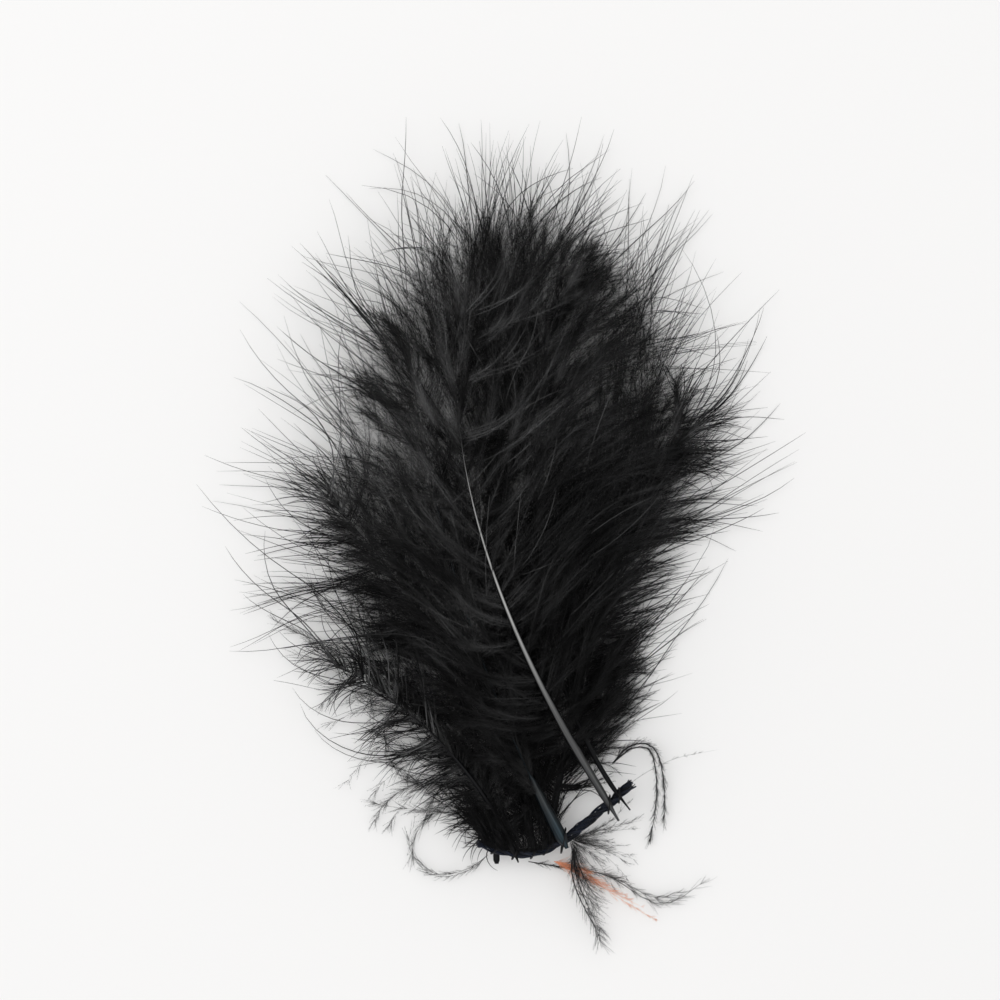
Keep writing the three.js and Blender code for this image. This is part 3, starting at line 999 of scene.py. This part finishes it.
def wisp(name, stems, twigs, slot, body, replaced, chance, thick):
    """A piece made of stems and their twigs, each with a little down of its own."""
    lines = np.concatenate([stems, twigs])
    core = np.concatenate([np.full(len(stems), thick), np.full(len(twigs), 0.03)])[:, None]
    downy = np.concatenate([np.full(len(stems), 1.0), np.full(len(twigs), 0.8)])
    twig_length = np.linalg.norm(np.diff(twigs, axis=1), axis=2).sum(1).mean()
    mean_length = np.linalg.norm(np.diff(lines, axis=1), axis=2).sum(1).mean()

    def reach(barb, place):
        return downy[barb] * (1 - 0.5 * place)

    material = salmon_down if slot == "salmon_down" else grey_down
    spacing = 0.4 * mean_length / twig_length
    piece = down(lines, core, spacing, reach, (14, 38), chance, 0.018)
    finish_piece(piece, name, material, body, replaced)


def plume(name, route, body, slot, stems, spread, shortest, thick, twigs, twig, lean, swell, chance):
    """A loose wisp: a few fine stems that part a little, feathered with side barbs."""
    random = np.random.default_rng(chance)
    middle = spline(route, 14) + DRAWING_SHIFT
    lines = stem_lines(middle, stems, spread, shortest, random)
    side_barbs = [twig_lines(stem, twigs, twig, random, lean, swell) for stem in lines]
    wisp(name + "_wisp", lines, np.concatenate(side_barbs), slot, body, [name], chance, thick)


# ---------------------------------------------------------------- loose barbs

def stray_hairs():
    """Long bare barbs that lie loose over the top of the pile, in a paler tone that paints their glints."""
    random = np.random.default_rng(81)
    hairs, steps = 22, 16
    s = np.linspace(0, 1, steps)
    root = np.column_stack([random.normal(-4, 15, hairs), random.normal(8, 24, hairs)])
    heading = flow(root[:, 0], root[:, 1]) + random.normal(0, 26, hairs)
    bend = random.normal(0, 22, hairs)
    size = random.uniform(7, 22, hairs)
    flat = root[:, None] + walk(size, heading[:, None] + bend[:, None] * s)
    top = settle(level_height(FEATHERS[1], flat[..., 0], flat[..., 1]), flat[..., 0], flat[..., 1])
    above = 2.6 + random.uniform(-0.4, 0.6, (hairs, 1)) - 2 * (s - 0.5) ** 2
    taper = 0.25 + 0.75 * np.sin(np.pi * s.clip(0.05, 0.95)) ** 0.5
    radii = 0.045 * taper * np.ones((hairs, 1))
    piece = mesh_piece(*tubes(np.dstack([flat, top + above]), radii, 5))
    finish_piece(piece, "stray_hairs", painted_glint_hair, "feather_1")


def base_fan():
    """Short loose barbs that fan out from under the thickest quill's stitch, over the cord's outer side."""
    random = np.random.default_rng(61)
    barbs, steps = 34, 14
    s = np.linspace(0, 1, steps)
    start = FEATHERS[3]["seat"] + np.array([1.2, 0.2, -1.6])
    heading = random.uniform(-82, 12, barbs)[:, None] + random.normal(0, 22, barbs)[:, None] * s[None]
    size = random.uniform(5, 16, barbs)
    flat = start[:2] + walk(size, heading)
    droop = (1 - s[None]) ** random.uniform(1.2, 3, (barbs, 1))
    height = 0.5 + (start[2] - 0.5) * droop + random.uniform(0, 1, (barbs, 1)) * s
    lines = np.dstack([flat, height])
    # one long hair stands off to the side on its own
    hair_route = [(23.9, -51, 5), (27, -49, 4.6), (32.4, -46.8, 3), (40, -45.5, 1.2)]
    hair = spline(hair_route, steps) + DRAWING_SHIFT
    side_barbs = [twig_lines(line, 14, 2.4, random) for line in lines]
    side_barbs.append(twig_lines(hair, 9, 1.6, random))
    lines = np.concatenate([lines, hair[None]])
    wisp("base_fan", lines, np.concatenate(side_barbs), "grey_down", "feather_3", (), 62, 0.035)


def rim_fuzz():
    """Long loose downy barbs that curl over each other on the table, at the lower left of the pile."""
    random = np.random.default_rng(91)
    barbs, steps = 30, 16
    s = np.linspace(0, 1, steps)
    along = np.linspace(0, 1, barbs) ** 1.5
    start = np.column_stack([-15 + 12 * along, -20 - 30 * along]) + random.normal(0, 2, (barbs, 2))
    size = (26 - 9 * along) * random.uniform(0.6, 1.1, barbs)
    heading = 180 + random.normal(0, 14, barbs)
    heading = heading[:, None] + random.normal(0, 70, barbs)[:, None] * s[None] ** 1.3
    flat = start[:, None] + walk(size, heading)
    root_height, tip_height = random.uniform(0.5, 3.5, barbs), random.uniform(0.3, 1.6, barbs)
    height = root_height[:, None] * (1 - s[None]) + tip_height[:, None] * s[None]
    lines = np.dstack([flat, height])
    side_barbs = [twig_lines(line, 42, 4.2, random, (8, 32), -0.3) for line in lines]
    wisp("rim_fuzz", lines, np.concatenate(side_barbs), "grey_down", "feather_7", (), 92, 0.045)


def cord_down():
    """Short down caught by the stitches, which hides the quills behind the cord."""
    random = np.random.default_rng(71)
    barbs, steps = 160, 12
    s = np.linspace(0, 1, steps)
    place = np.sort(random.uniform(0.55, 0.97, barbs))
    root = resample(cord_line, place)
    root[:, 2] += random.uniform(0.2, 0.8, barbs)
    heading = 90 + 24 * smoothstep(place, 0.6, 1) + random.normal(0, 9, barbs)
    size = random.uniform(6, 17, barbs)
    wander, curl = random.normal(0, 10, barbs), random.normal(0, 14, barbs)
    phase, most = 1.3, 15
    flat = march(root[:, :2], heading, size, wander, curl, phase, steps, most)
    height = root[:, 2:] + random.uniform(0.6, 2.2, barbs)[:, None] * smoothstep(s, 0, 0.25)[None]
    height = height + random.normal(0, 1.2, barbs)[:, None] * s[None] ** 2

    def reach(barb, share):
        grown = smoothstep(share, 0, 0.05) * (1 - 0.5 * smoothstep(share, 0.7, 1))
        return 1.7 * grown + 0 * barb

    piece = down(np.dstack([flat, height]), 0.08, 0.3, reach, (20, 50), 72, 0.045)
    # the darker copy of the down paints shade here
    finish_piece(piece, "cord_down", painted_shade_down, "root")


# ---------------------------------------------------------------- the whole

shafts = {number: shaft_line(feather) for number, feather in FEATHERS.items()}
cord()
for number, feather in FEATHERS.items():
    quill(number, feather)
    stitch(number, feather)
    vane(number, feather, 1)
    vane(number, feather, -1)
cord_down()
base_fan()
rim_fuzz()
stray_hairs()
for chance, (name, shape) in enumerate(PLUMES.items()):
    plume(name, chance=40 + chance, **shape)
